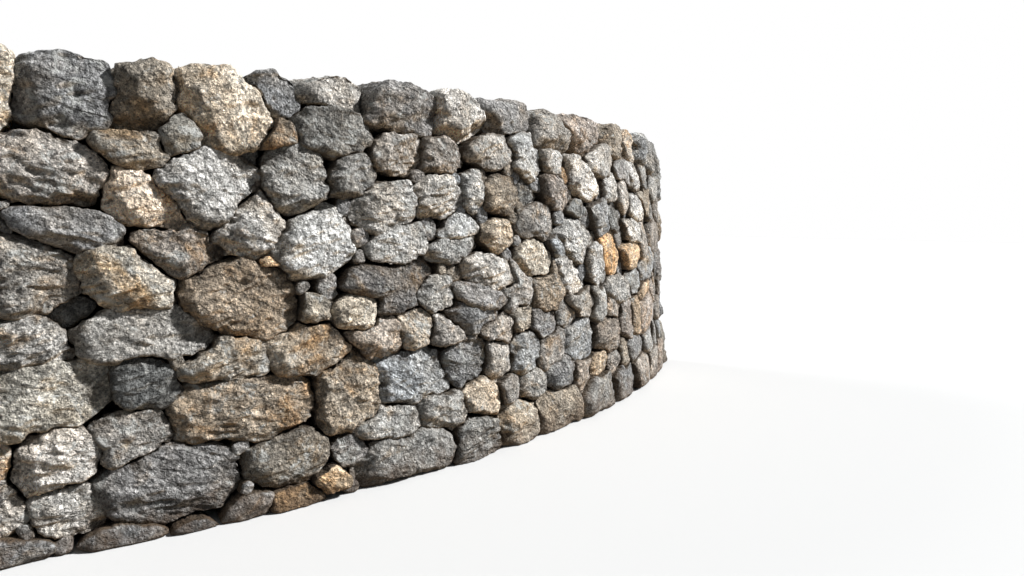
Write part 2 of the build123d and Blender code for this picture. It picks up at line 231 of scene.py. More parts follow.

# The photo's stones below the caps, roughly in rows from the top and each from left to right. Their
# tones are partly their own and partly painted light and shade
TRACED_STONES = {
    "flat brown stone": ("umber", 0.3, (94, 133), (128, 132), (160, 138), (165, 163), (140, 164),
        (98, 151)),
    "big warm stone": ("warm", 0.1, (-22, 150), (10, 132), (50, 135), (90, 152), (107, 172), (97, 198),
        (84, 206), (30, 201), (-15, 190), (-25, 170)),
    "small speckled stone": ("umber", 0.1, (162, 140), (172, 119), (190, 115), (204, 134), (195, 149),
        (167, 151)),
    "small tan stone": ("brown", 0.5, (262, 147), (281, 120), (296, 131), (299, 139), (283, 145)),
    "dark rounded stone": ("black", 0.0, (291, 122), (312, 107), (340, 107), (366, 121), (370, 143),
        (335, 155), (306, 149)),
    "upright pale stone": ("grey", 0.1, (264, 162), (283, 149), (305, 147), (321, 160), (329, 188),
        (316, 205), (284, 215), (270, 190)),
    "large speckled stone": ("white", 0.0, (173, 162), (192, 151), (220, 152), (250, 161), (265, 178),
        (238, 200), (228, 216), (203, 229), (190, 217), (168, 188), (163, 178)),
    "wedge in the shadow": ("black", 0.1, (246, 152), (259, 153), (258, 163), (248, 160)),
    "round grey stone": ("grey", 0.1, (330, 180), (342, 157), (362, 155), (373, 173), (358, 195),
        (334, 195)),
    "long dark stone": ("dark", 0.0, (5, 210), (30, 206), (76, 206), (103, 217), (126, 233), (110, 248),
        (65, 245), (18, 230)),
    "rusty tan stone": ("sand", 0.3, (115, 168), (140, 176), (170, 195), (189, 222), (180, 233), (145, 225),
        (108, 210), (104, 197)),
    "rust rimmed stone": ("warm", 0.3, (127, 240), (140, 228), (181, 233), (192, 228), (222, 252),
        (200, 270), (182, 274), (148, 256)),
    "long edge stone": ("grey", 0.3, (-28, 262), (0, 237), (34, 246), (68, 264), (80, 290), (50, 307),
        (0, 319), (-30, 290)),
    "rusty pink stone": ("cream", 0.5, (79, 270), (90, 253), (128, 253), (170, 281), (175, 306), (125, 310),
        (85, 290)),
    "small dark stone": ("black", 0.1, (50, 316), (66, 302), (92, 304), (90, 319), (65, 327)),
    "large brown stone": ("brown", 0.1, (176, 292), (206, 270), (245, 257), (262, 266), (287, 272),
        (302, 312), (288, 330), (255, 337), (203, 325)),
    "ochre sliver": ("apricot", 0.6, (253, 269), (265, 258), (276, 266)),
    "pale banded stone": ("white", 0.2, (218, 232), (241, 210), (262, 192), (281, 217), (285, 230),
        (262, 255), (230, 256), (216, 241)),
    "large light stone": ("white", 0.1, (271, 252), (296, 226), (329, 205), (349, 224), (352, 257),
        (330, 271), (300, 278)),
    "small pale stone": ("brown", 0.3, (302, 312), (308, 295), (329, 303), (330, 318), (308, 323)),
    "white speckled stone": ("cream", 0.1, (332, 312), (350, 298), (374, 302), (374, 321), (348, 327)),
    "ochre rimmed stone": ("tan", 0.5, (268, 347), (280, 339), (303, 326), (325, 323), (353, 350),
        (318, 373), (285, 373)),
    "ochre sided stone": ("tan", 0.5, (316, 390), (330, 373), (355, 353), (376, 370), (374, 410),
        (350, 433), (322, 428)),
    "pale mottled stone": ("tan", 0.2, (177, 379), (182, 367), (200, 363), (222, 344), (262, 342),
        (269, 373), (248, 381), (190, 384)),
    "half ochre stone": ("brown", 0.5, (176, 400), (200, 386), (262, 380), (305, 378), (316, 385),
        (308, 420), (270, 438), (225, 435), (188, 447), (177, 435)),
    "long pale stone": ("grey", 0.1, (71, 338), (84, 320), (112, 312), (175, 309), (216, 331), (206, 350),
        (140, 359), (92, 360)),
    "ochre footed stone": ("pale", 0.3, (-35, 350), (-5, 325), (40, 320), (62, 338), (69, 359), (25, 366),
        (-25, 366)),
    "cream layered stone": ("cream", 0.15, (-30, 400), (0, 372), (50, 365), (105, 364), (114, 396),
        (75, 424), (0, 440), (-32, 420)),
    "dark round stone": ("black", 0.0, (110, 383), (122, 364), (150, 359), (175, 374), (178, 397),
        (140, 410), (114, 393)),
    "grey tan stone": ("warm", 0.3, (89, 430), (112, 418), (156, 410), (174, 436), (145, 456), (102, 469),
        (104, 455)),
    "grey speckled stone": ("white", 0.0, (18, 455), (28, 435), (82, 431), (104, 450), (103, 468),
        (60, 488), (30, 498), (10, 480)),
    "sandy edge stone": ("sand", 0.4, (-40, 455), (-30, 446), (0, 446), (9, 461), (0, 478), (-30, 480)),
    "dark banded stone": ("dark", 0.05, (95, 482), (120, 466), (185, 446), (233, 452), (240, 482),
        (222, 506), (155, 522), (108, 515)),
    "low grey stone": ("pale", 0.0, (30, 505), (50, 493), (89, 489), (104, 517), (90, 531), (45, 531)),
    "low edge stone": ("white", 0.1, (-45, 500), (-10, 481), (12, 491), (28, 518), (0, 537), (-45, 525)),
    "first base stone": ("dark", 0.3, (78, 545), (100, 532), (148, 524), (166, 530), (168, 547),
        (100, 556)),
    "second base stone": ("dark", 0.3, (171, 529), (198, 519), (219, 523), (226, 533), (200, 543),
        (170, 541)),
    "dark base stone": ("dark", 0.3, (223, 520), (236, 502), (268, 492), (268, 518), (235, 528)),
    "ochre base stone": ("brown", 0.9, (270, 510), (272, 494), (303, 485), (324, 505), (290, 517)),
    "brown sided stone": ("umber", 0.2, (240, 460), (258, 449), (305, 430), (323, 438), (329, 462),
        (300, 478), (268, 486), (245, 475)),
    "small low tan stone": ("apricot", 0.7, (316, 479), (330, 465), (344, 480), (325, 488)),
    "small low stone": ("dark", 0.1, (333, 450), (350, 434), (366, 450), (345, 465)),
    "pinkish stone": ("warm", 0.1, (373, 152), (388, 137), (421, 138), (424, 163), (402, 177), (378, 168)),
    "half brown stone": ("warm", 0.2, (424, 158), (430, 141), (450, 139), (466, 166), (448, 172),
        (426, 168)),
    "second row stone": ("pale", 0.1, (470, 152), (486, 136), (504, 137), (516, 162), (485, 165),
        (468, 161)),
    "pale upright stone": ("white", 0.0, (512, 143), (521, 134), (533, 138), (540, 168), (530, 179),
        (516, 165)),
    "pale broad stone": ("white", 0.0, (354, 203), (380, 184), (402, 181), (420, 200), (414, 218),
        (378, 231), (357, 220)),
    "grey broad stone": ("pale", 0.1, (414, 192), (433, 180), (447, 174), (463, 202), (444, 215),
        (421, 215)),
    "narrow stone": ("pale", 0.2, (463, 175), (478, 174), (484, 200), (475, 214), (465, 200)),
    "pinkish tan stone": ("brown", 0.2, (483, 192), (495, 179), (512, 180), (519, 200), (508, 213),
        (486, 207)),
    "small tan diamond": ("black", 0.3, (518, 197), (524, 183), (539, 197), (528, 206)),
    "third row stone": ("white", 0.0, (365, 245), (395, 234), (420, 224), (426, 250), (405, 261),
        (372, 261)),
    "long thin stone": ("white", 0.1, (440, 234), (451, 219), (473, 217), (478, 234), (450, 239)),
    "long low stone": ("pale", 0.1, (427, 250), (447, 240), (475, 236), (478, 248), (458, 262), (430, 260)),
    "square stone": ("cream", 0.1, (483, 226), (510, 223), (513, 240), (496, 250), (484, 240)),
    "blue grey stone": ("pale", 0.0, (463, 262), (480, 254), (505, 262), (511, 280), (495, 290),
        (470, 277)),
    "low blue grey stone": ("dark", 0.1, (453, 282), (495, 293), (507, 299), (495, 307), (462, 300)),
    "fourth row stone": ("pale", 0.0, (420, 295), (433, 278), (450, 280), (452, 302), (432, 310)),
    "broad tan stone": ("cream", 0.2, (517, 250), (535, 239), (551, 250), (547, 270), (528, 274),
        (515, 260)),
    "upper tan stone": ("warm", 0.3, (517, 225), (530, 207), (550, 209), (555, 225), (545, 238),
        (520, 235)),
    "small upper stone": ("white", 0.1, (541, 153), (555, 151), (563, 165), (553, 175), (542, 162)),
    "light speckled stone": ("white", 0.0, (562, 153), (575, 159), (594, 183), (595, 199), (578, 196),
        (567, 168)),
    "pale tan stone": ("pale", 0.1, (590, 155), (602, 145), (611, 158), (606, 175), (591, 170)),
    "narrow pale stone": ("dark", 0.0, (612, 165), (622, 159), (628, 183), (615, 175)),
    "narrow grey stone": ("white", 0.1, (626, 163), (636, 170), (640, 190), (630, 183)),
    "pinkish round stone": ("pink", 0.1, (543, 180), (556, 176), (567, 192), (563, 208), (548, 201)),
    "small round stone": ("black", 0.2, (567, 210), (578, 201), (582, 212), (575, 214)),
    "upright thin stone": ("pale", 0.0, (604, 177), (612, 178), (614, 197), (605, 198)),
    "upright brown stone": ("white", 0.1, (614, 192), (621, 180), (629, 200), (624, 212)),
    "upright far stone": ("white", 0.0, (628, 195), (637, 203), (641, 220), (630, 214)),
    "round pale stone": ("pale", 0.0, (556, 235), (567, 221), (582, 224), (592, 240), (580, 262),
        (565, 250)),
    "upright grey stone": ("blue", 0.0, (593, 210), (602, 203), (608, 230), (598, 232)),
    "small far stone": ("black", 0.0, (607, 208), (617, 215), (615, 230), (608, 228)),
    "white stone": ("white", 0.0, (620, 219), (633, 226), (636, 240), (625, 237)),
    "orange stone": ("apricot", 0.6, (600, 241), (611, 231), (619, 258), (613, 277), (603, 262)),
    "tan far stone": ("apricot", 0.3, (619, 247), (633, 245), (637, 262), (627, 266)),
    "tall white stone": ("white", 0.2, (588, 250), (599, 248), (601, 262), (599, 288), (589, 275)),
    "bluish slab": ("white", 0.0, (556, 262), (566, 257), (585, 285), (570, 292), (558, 272)),
    "stone over the slab": ("blue", 0.0, (549, 240), (560, 237), (561, 256), (550, 250)),
    "low far stone": ("pale", 0.1, (601, 290), (612, 276), (624, 282), (632, 296), (615, 298)),
}

# Stones of the photo that sit behind the others, or before them
SETBACKS = {
    "wedge in the shadow": 0.06,
    "small dark stone": 0.08,
    "small tan diamond": 0.05,
    "white stone": -0.01,
}


def front_radius(level):
    return FACE_RADIUS + FRONT_BATTER * (WALL_HEIGHT - level)


def back_radius(level):
    return FACE_RADIUS - TOP_WIDTH - BACK_BATTER * (WALL_HEIGHT - level)


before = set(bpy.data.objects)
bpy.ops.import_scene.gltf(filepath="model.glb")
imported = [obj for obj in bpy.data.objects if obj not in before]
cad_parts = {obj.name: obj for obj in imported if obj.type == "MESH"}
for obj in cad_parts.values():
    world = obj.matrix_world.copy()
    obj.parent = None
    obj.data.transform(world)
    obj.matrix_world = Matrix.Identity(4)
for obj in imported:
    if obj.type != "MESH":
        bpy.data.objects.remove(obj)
cad_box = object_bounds()

# The arc's centre, from the front of the CAD model's box
ARC_CENTRE_Y = cad_box[0][1] + front_radius(BASE_HEIGHT) + BASE_STEP


# Places on the wall. Along is metres of the front face's arc from the wall's middle, to the right
# as seen from that side, and out is the distance proud of the face.


def wall_place(turn, radius, level):
    return np.stack((radius * np.sin(turn), ARC_CENTRE_Y - radius * np.cos(turn), level), axis=-1)


def front_place(along, level, out):
    return wall_place(along / FACE_RADIUS, front_radius(level) + out, level)


def back_place(along, level, out):
    return wall_place(-along / FACE_RADIUS, back_radius(level) - out, level)


def seen_place(pixels):
    """Along and level where the rays through pixels of the photo meet the front face."""
    focal = LENS / SENSOR * PHOTO_WIDTH
    right = np.array((cos(HEADING), -sin(HEADING), 0))
    up = np.cross(right, AHEAD)
    pixels = np.array(pixels, dtype=float)
    across = (pixels[:, 0] - PHOTO_WIDTH / 2) / focal
    rise = (PHOTO_HEIGHT / 2 - pixels[:, 1]) / focal
    ray = AHEAD + across[:, None] * right + rise[:, None] * up
    eye = np.array(EYE) - (0, ARC_CENTRE_Y, 0)
    reach = front_radius(EYE[2]) - TRACE_DEPTH
    narrowing = FRONT_BATTER * ray[:, 2]
    square = ray[:, 0] ** 2 + ray[:, 1] ** 2 - narrowing ** 2
    half = ray[:, 0] * eye[0] + ray[:, 1] * eye[1] + reach * narrowing
    rest = eye[0] ** 2 + eye[1] ** 2 - reach ** 2
    distance = (-half - np.sqrt(np.maximum(half ** 2 - square * rest, 0))) / square
    spot = eye + distance[:, None] * ray
    return np.stack((FACE_RADIUS * np.arctan2(spot[:, 0], -spot[:, 1]), spot[:, 2]), axis=-1)


# Outlines. A stone's outline is its radius in each of a set of directions round its middle.

ANGLES = 2 * pi * np.arange(DIRECTIONS) / DIRECTIONS


@dataclass
class Stone:
    along: float
    level: float
    radii: np.ndarray
    tone: str
    rust: float
    base: bool = False          # True in the base course
    laid: bool = False          # True where it may grow to meet its neighbours
    setback: float = 0.0        # how far it sits behind the others
    closeness: float = 1.0      # how much more it grows than others, and how much closer it meets them


def radius_towards(radii, angle):
    return np.interp(angle, np.append(ANGLES, 2 * pi), np.append(radii, radii[0]), period=2 * pi)


def polygon_radii(points):
    """Middle of a polygon, and its radii from there."""
    following = np.roll(points, -1, axis=0)
    cross = points[:, 0] * following[:, 1] - following[:, 0] * points[:, 1]
    centre = ((points + following) * cross[:, None]).sum(axis=0) / (3 * cross.sum())
    start = points - centre
    edge = following - points
    radii = np.empty(DIRECTIONS)
    for index, angle in enumerate(ANGLES):
        ray = np.array((cos(angle), sin(angle)))
        facing = ray[0] * edge[:, 1] - ray[1] * edge[:, 0]
        facing = np.where(np.abs(facing) < TINY, TINY, facing)
        reach = (start[:, 0] * edge[:, 1] - start[:, 1] * edge[:, 0]) / facing
        share = (start[:, 0] * ray[1] - start[:, 1] * ray[0]) / facing
        hits = reach[(reach > 0) & (share >= 0) & (share <= 1)]
        radii[index] = hits.max() if len(hits) else np.hypot(*start.T).min()
    return centre, radii


def pebble_radii(rng, half_length, half_height, power, tilt, unevenness):
    turned = ANGLES - tilt
    radii = np.abs(np.cos(turned) / half_length) ** power + np.abs(np.sin(turned) / half_height) ** power
    radii = radii ** (-1 / power)
    for wave in (2, 3, 4, 5):
        swell = unevenness / wave * rng.normal()
        radii = radii * (1 + swell * np.cos(wave * ANGLES + rng.uniform(0, 2 * pi)))
    return radii


# Laying stones. They claim cells on a map of the face, and each cell goes to the stone whose
# outline is nearest.

MAP_WIDTH = int(WALL_LENGTH / CELL)
MAP_HEIGHT = int(WALL_HEIGHT / CELL)


def map_window(stone, reach):
    """Rows and columns of the cells round a stone, and how far each is beyond its outline."""
    size = stone.radii.max() + reach
    left = max(int((stone.along - size + WALL_LENGTH / 2) / CELL), 0)
    right = min(int((stone.along + size + WALL_LENGTH / 2) / CELL) + 2, MAP_WIDTH)
    bottom = max(int((stone.level - size) / CELL), 0)
    top = min(int((stone.level + size) / CELL) + 2, MAP_HEIGHT)
    along = (np.arange(left, right) + 0.5) * CELL - WALL_LENGTH / 2 - stone.along
    level = (np.arange(bottom, top) + 0.5) * CELL - stone.level
    across, up = np.meshgrid(along, level)
    beyond = np.hypot(across, up) - radius_towards(stone.radii, np.arctan2(up, across))
    return slice(bottom, top), slice(left, right), beyond


def claim_cells(stones, growth):
    """Number of the stone that each cell belongs to, or -1. Stones that don't grow come first."""
    owner = np.full((MAP_HEIGHT, MAP_WIDTH), -1)
    nearest = np.full((MAP_HEIGHT, MAP_WIDTH), np.inf)
    for number, stone in enumerate(stones):
        reach = growth * stone.closeness if stone.laid else 0.0
        rows, columns, beyond = map_window(stone, reach)
        rank = beyond if stone.laid else beyond - WALL_LENGTH
        won = (beyond < reach) & (rank < nearest[rows, columns])
        nearest[rows, columns][won] = rank[won]
        owner[rows, columns][won] = number
    return owner


def owned_radii(stone, number, owner, growth, joint):
    """How far the stone's own cells reach in each direction, less half a joint."""
    step = CELL / 2
    steps = np.arange(0.5, LARGEST_RADIUS / step) * step
    along = stone.along + np.outer(np.cos(ANGLES), steps)
    level = stone.level + np.outer(np.sin(ANGLES), steps)
    columns = np.clip(((along + WALL_LENGTH / 2) / CELL).astype(int), 0, MAP_WIDTH - 1)
    rows = np.clip((level / CELL).astype(int), 0, MAP_HEIGHT - 1)
    inside = (owner[rows, columns] == number) & (steps < stone.radii[:, None] + growth)
    inside &= (level > 0) & (np.abs(along) < WALL_LENGTH / 2)
    free = np.argmin(inside, axis=1) * step - joint / 2
    smooth = (np.roll(free, 1) + 2 * free + np.roll(free, -1)) / 4
    return np.maximum(smooth, SMALLEST_RADIUS)


def grow_traced(stones):
    """Let the stones of the photo grow evenly until they meet each other."""
    for stone in stones:
        stone.laid = True
    owner = claim_cells(stones, TRACE_REACH)
    for number, stone in enumerate(stones):
        stone.laid = False
        growth = TRACE_REACH * stone.closeness
        stone.radii = owned_radii(stone, number, owner, growth, TRACE_JOINT / stone.closeness)


def course_stones(rng, bottom, top, lengths, unrest):
    """One course of loosely placed stones, all along the wall."""
    stones = []
    along = -WALL_LENGTH / 2
    while along < WALL_LENGTH / 2:
        length = rng.uniform(*lengths)
        height = (top - bottom) * rng.uniform(*STONE_HEIGHTS)
        shift = rng.uniform(-unrest, unrest) * (top - bottom)
        level = (bottom + top) / 2 + shift
        lean = rng.normal() * 0.5 * unrest
        squareness = rng.uniform(*LAID_SQUARENESS)
        radii = pebble_radii(rng, length / 2, height / 2, squareness, lean, LAID_UNEVENNESS)
        tone = COMMON_TONES[rng.integers(len(COMMON_TONES))]
        rust = rng.uniform(0, MOST_RUST) ** RUST_RARITY
        base = top <= BASE_HEIGHT
        stones.append(Stone(along + length / 2, level, radii, tone, rust, base, laid=True))
        along += length
    return stones


def settle(stones, given):
    """Move each stone to the middle of its cells, and leave out those that have hardly any."""
    owner = claim_cells(given + stones, REACH)
    kept = []
    for number, stone in enumerate(stones, len(given)):
        rows, columns = np.nonzero(owner == number)
        if len(rows) * CELL ** 2 > SMALLEST_AREA:
            stone.along = (columns.mean() + 0.5) * CELL - WALL_LENGTH / 2
            stone.level = (rows.mean() + 0.5) * CELL
            kept.append(stone)
    return kept


def fill_face(rng, given):
    """Stones laid in courses wherever the given ones leave room, and small ones in the gaps."""
    courses = course_stones(rng, 0.0, BASE_HEIGHT, BASE_LENGTHS, BASE_UNREST)
    level = BASE_HEIGHT
    while level < WALL_HEIGHT - COURSE_HEIGHTS[1]:
        height = rng.uniform(*COURSE_HEIGHTS)
        lengths = [share * height for share in STONE_LENGTHS]
        courses += course_stones(rng, level, level + height, lengths, COURSE_UNREST)
        level += height
    taken = claim_cells(given, 0.0) >= 0
    laid = []
    for stone in courses:
        rows, columns, beyond = map_window(stone, 0.0)
        own = beyond < 0
        if own.any() and taken[rows, columns][own].mean() < MOST_OVERLAP:
            laid.append(stone)
    for _ in range(SETTLING_ROUNDS):
        laid = settle(laid, given)
    owner = claim_cells(given + laid, REACH)
    for number, stone in enumerate(laid, len(given)):
        stone.radii = owned_radii(stone, number, owner, REACH, JOINT)
    return laid + chink_stones(rng, given + laid)


def chink_stones(rng, stones):
    """Small stones wedged where the joints are widest."""
    room = claim_cells(stones, 0.0) < 0
    margin = round(CHINK_MARGIN / CELL)
    room[:, :margin] = False
    room[:, -margin:] = False
    room[round(CHINK_TOP / CELL):] = False
    clearance = np.zeros(room.shape)
    while room.any():
        clearance += room
        room = room & np.roll(room, 1, 0) & np.roll(room, -1, 0) & np.roll(room, 1, 1) & np.roll(room, -1, 1)
    chinks = []
    while clearance.max() * CELL > SMALLEST_CHINK:
        row, column = np.unravel_index(clearance.argmax(), clearance.shape)
        size = clearance[row, column] * CELL
        along = (column + 0.5) * CELL - WALL_LENGTH / 2
        level = (row + 0.5) * CELL
        half_length, half_height = (share * size for share in CHINK_SIZES)
        tilt = rng.uniform(0, pi)
        radii = pebble_radii(rng, half_length, half_height, PEBBLE_SQUARENESS, tilt, CHINK_UNEVENNESS)
        tone = SHADED_CHINK_TONES[rng.integers(len(SHADED_CHINK_TONES))]
        rust = rng.uniform(0, CHINK_RUST)
        base = level < BASE_HEIGHT
        chinks.append(Stone(along, level, radii, tone, rust, base, setback=CHINK_SETBACK))
        reach = int(size * CHINK_SPACING / CELL)
        clearance[max(row - reach, 0):row + reach, max(column - reach, 0):column + reach] = 0
    return chinks


# Stones of the photo and of the CAD model


def traced_stones(traced):
    """The photo's stones, where the camera sees them."""
    stones = []
    for name, (tone, rust, *pixels) in traced.items():
        outline = seen_place(pixels)
        outline[:, 1] = np.maximum(outline[:, 1], 0)
        (along, level), radii = polygon_radii(outline)
        base = level < TRACED_BASE_TOP
        setback = SETBACKS.get(name, 0.0)
        closeness = 1 + TRACE_CLOSENESS * max(along, 0)
        stones.append(Stone(along, level, radii, tone, rust, base, False, setback, closeness))
    return stones


def block_stone(rng, side, outer, inner, bottom, top, power, tones=COMMON_TONES):
    """A stone that fills a rectangle of the face. Outer and inner count from the wall's middle."""
    radii = pebble_radii(rng, (outer - inner) / 2, (top - bottom) / 2, power, 0.0, BLOCK_UNEVENNESS)
    tone = tones[rng.integers(len(tones))]
    rust = rng.uniform(0, BLOCK_RUST)
    return Stone(side * (outer + inner) / 2, (bottom + top) / 2, radii, tone, rust)


def cap_course(rng):
    """The photo's cap stones between those that it doesn't show."""
    caps = traced_stones(TRACED_CAPS)
    for side, quoins, lengths in ((-1, LEFT_QUOINS, LEFT_CAPS), (1, RIGHT_QUOINS, RIGHT_CAPS)):
        outer = WALL_LENGTH / 2 - quoins[-1][1] - CAP_JOINT
        for length, bed, crown in lengths:
            caps.append(block_stone(rng, side, outer, outer - length, bed, crown, CAP_SQUARENESS))
            outer -= length + CAP_JOINT
    return caps


def end_stones(rng, quoins, side, tones):
    stones = []
    level = 0.0
    for height, length, setback in quoins:
        outer = WALL_LENGTH / 2 - setback
        inner = WALL_LENGTH / 2 - length
        bottom = level + QUOIN_JOINTS[0]
        level += height
        top = level - QUOIN_JOINTS[1]
        stones.append(block_stone(rng, side, outer, inner, bottom, top, QUOIN_SQUARENESS, tones))
    return stones


def mirrored(stone):
    """The same through stone as its back shows it."""
    radii = np.roll(stone.radii[::-1], DIRECTIONS // 2 + 1)
    return Stone(-stone.along, stone.level, radii, stone.tone, stone.rust)


# Rough shapes

SCRAMBLE = (374761393, 668265263, 2246822519)   # large primes, one for each axis
SEED_SCRAMBLE = 3266489917
LAST_SCRAMBLE = 1274126177


def lattice(cells, seed):
    """A repeatable random value from -1 to 1 for each whole-numbered point."""
    mixed = cells.astype(np.int64).astype(np.uint32) * np.array(SCRAMBLE, dtype=np.uint32)
    value = mixed[..., 0] + mixed[..., 1] + mixed[..., 2] + np.uint32(seed * SEED_SCRAMBLE % 2 ** 32)
    value = (value ^ (value >> np.uint32(13))) * np.uint32(LAST_SCRAMBLE)
    value = value ^ (value >> np.uint32(16))
    return value / 2.0 ** 31 - 1


def noise(points, size, seed):
    """Smooth random values, with swells of a given size."""
    scaled = points / size
    corner = np.floor(scaled)
    share = scaled - corner
    share = share * share * (3 - 2 * share)
    total = np.zeros(points.shape[:-1])
    for step in np.ndindex(2, 2, 2):
        weight = np.where(step, share, 1 - share)
        total += weight[..., 0] * weight[..., 1] * weight[..., 2] * lattice(corner + step, seed)
    return total


def disk_grid(count):
    """A square grid spread over a disk: its radius from 0 to 1 and its direction."""
    line = np.linspace(-1, 1, count + 1)
    x, y = np.meshgrid(line, line)
    radius = np.maximum(np.abs(x), np.abs(y))
    safe = np.maximum(radius, TINY)
    quarter = pi / 4
    wide = np.abs(x) >= np.abs(y)
    angle = np.where(wide, quarter * y / safe * np.sign(x), pi / 2 - quarter * x / safe * np.sign(y))
    angle = np.where(wide & (x < 0), angle + pi, angle)
    angle = np.where(~wide & (y < 0), angle + pi, angle)
    return radius, angle


def grid_numbers(count):
    return np.arange((count + 1) ** 2).reshape(count + 1, count + 1)


def grid_quads(count):
    grid = grid_numbers(count)
    return np.stack((grid[:-1, :-1], grid[:-1, 1:], grid[1:, 1:], grid[1:, :-1]), axis=-1).reshape(-1, 4)


def border(count):
    """Numbers of the grid's outer vertices, once round."""
    grid = grid_numbers(count)
    return np.concatenate((grid[0, :-1], grid[:-1, -1], grid[-1, :0:-1], grid[:0:-1, 0]))


def band(upper, lower):
    """Quads between rings of vertices."""
    corners = (upper, lower, np.roll(lower, -1, -1), np.roll(upper, -1, -1))
    return np.stack(corners, axis=-1).reshape(-1, 4)


def rounded_profile(mean_radius, depth, power):
    """Shares of the radius and of the depth along a rounded shoulder, and its length."""
    turn = np.linspace(0, pi / 2, 200)
    out = np.sin(turn) ** (2 / power)
    fall = np.cos(turn) ** (2 / power)
    run = np.append(0, np.cumsum(np.hypot(np.diff(out) * mean_radius, np.diff(fall) * depth)))
    return run / run[-1], out, fall, run[-1]


def cut_facets(rng, points, depth):
    """Split the dome into flatter faces. Those that look left only chamfer its left shoulder."""
    for _ in range(FACETS):
        way = rng.uniform(0, 2 * pi)        # that the facet looks, with pi to the left
        steep = cos(way) < -0.1 or rng.random() < STEEP_SHARE
        leans, shares = STEEP_FACET if steep else FLAT_FACET
        lean = rng.uniform(*leans)
        normal = np.array((sin(lean) * cos(way), sin(lean) * sin(way), cos(lean)))
        reach = points @ normal
        over = (reach - reach.max() + rng.uniform(*shares) * depth) / FACET_EDGE
        soft = np.where(over > 20, over, np.log1p(np.exp(np.minimum(over, 20)))) * FACET_EDGE
        lower = points[..., 2] - 0.94 * soft / normal[2]
        points[..., 2] = np.maximum(lower, np.minimum(points[..., 2], 0))
    return points


def roughen(points, seed, amount=1.0):
    """Swells, ledges and ridges, pushed out along the surface's normal, and how far each point went."""
    normal = np.cross(np.gradient(points, axis=1), np.gradient(points, axis=0))
    normal = normal / np.maximum(np.linalg.norm(normal, axis=-1, keepdims=True), TINY)
    lean = BED_LEAN * sin(2.4 * seed)
    tilted = np.stack((
        BED_SQUEEZE[0] * (points[..., 0] * cos(lean) + points[..., 1] * sin(lean)),
        BED_SQUEEZE[1] * (points[..., 1] * cos(lean) - points[..., 0] * sin(lean)),
        points[..., 2],
    ), axis=-1) + 1.37 * seed
    push = SWELL[1] * noise(points, SWELL[0], seed)
    for size, height in LEDGES:
        push += height * np.tanh(4 * noise(tilted, size, seed + 1))
    for size, height in RIDGES:
        push += height * np.maximum(0.6 - 2 * np.abs(noise(tilted, size, seed + 2)), -0.4)
    return points + amount * push[..., None] * normal, push


def dome(rng, stone, depth, power, crown, spacing):
    """The outer side of a stone, as a grid of along, up and out from its middle."""
    mean_radius = stone.radii.mean()
    run, out, fall, length = rounded_profile(mean_radius, depth, power)
    count = int(np.clip(round(2 * length / spacing * 0.9), *GRID_LIMITS))
    radius, angle = disk_grid(count)
    reach = np.interp(radius, run, out) * radius_towards(stone.radii, angle)
    height = np.interp(radius, run, fall) * depth - depth + crown
    points = np.stack((reach * np.cos(angle), reach * np.sin(angle), height), axis=-1)
    middle = np.array((0, 0, -depth))
    points = cut_facets(rng, points - middle, min(depth, mean_radius)) + middle
    slope = rng.normal(size=2) * 0.05 - (0.05, 0.02)
    lift = np.maximum(np.interp(radius, run, fall), 0)
    points[..., 2] += lift * (points[..., 0] * slope[0] + points[..., 1] * slope[1])
    return points, radius, count


def face_stone_shape(rng, stone, spacing, seed):
    """A stone laid in a face: a rounded outer side, and a plain tapering tail into the wall."""
    mean_radius = stone.radii.mean()
    flatter = 1 - FLATTENING * max(stone.along, 0.0)
    depth = flatter * float(np.clip(SHOULDER * mean_radius, *SHOULDER_LIMITS))
    crown = rng.uniform(*CROWNS) - stone.setback
    squareness = rng.uniform(*FACE_SQUARENESS) / flatter
    grid, radius, count = dome(rng, stone, depth, squareness, crown, spacing)
    relief = flatter * min(mean_radius / FULL_RELIEF_RADIUS, 1.0) * rng.uniform(*RELIEF_SHARES)
    grid, push = roughen(grid, seed, relief)
    outer = grid.reshape(-1, 3)
    first = border(count)
    rim = outer[first]
    tail = -FACE_THICKNESS - stone.setback
    rings = []
    for size, back in zip(TAIL_SIZES, (-depth - TAIL_START - stone.setback, tail)):
        rings.append(np.concatenate((rim[:, :2] * size, np.full((len(rim), 1), back)), axis=1))
    points = np.concatenate((outer, *rings, ((0, 0, tail),)))
    second = len(outer) + np.arange(len(rim))
    third = second + len(rim)
    quads = np.concatenate((grid_quads(count), band(first, second), band(second, third)))
    centre = np.full(len(rim), len(points) - 1)
    triangles = np.stack((third, centre, np.roll(third, -1)), axis=-1)
    # How deep each point lies: most at the rim, on the tail and in the relief's hollows. The granite darkens
    # these with grime and painted shade
    hollow = np.clip((-push - 0.003) / 0.020, 0, 0.35)
    deep = np.concatenate(((radius ** 5 + hollow).reshape(-1), np.ones(2 * len(rim) + 1)))
    return points, quads, triangles, deep


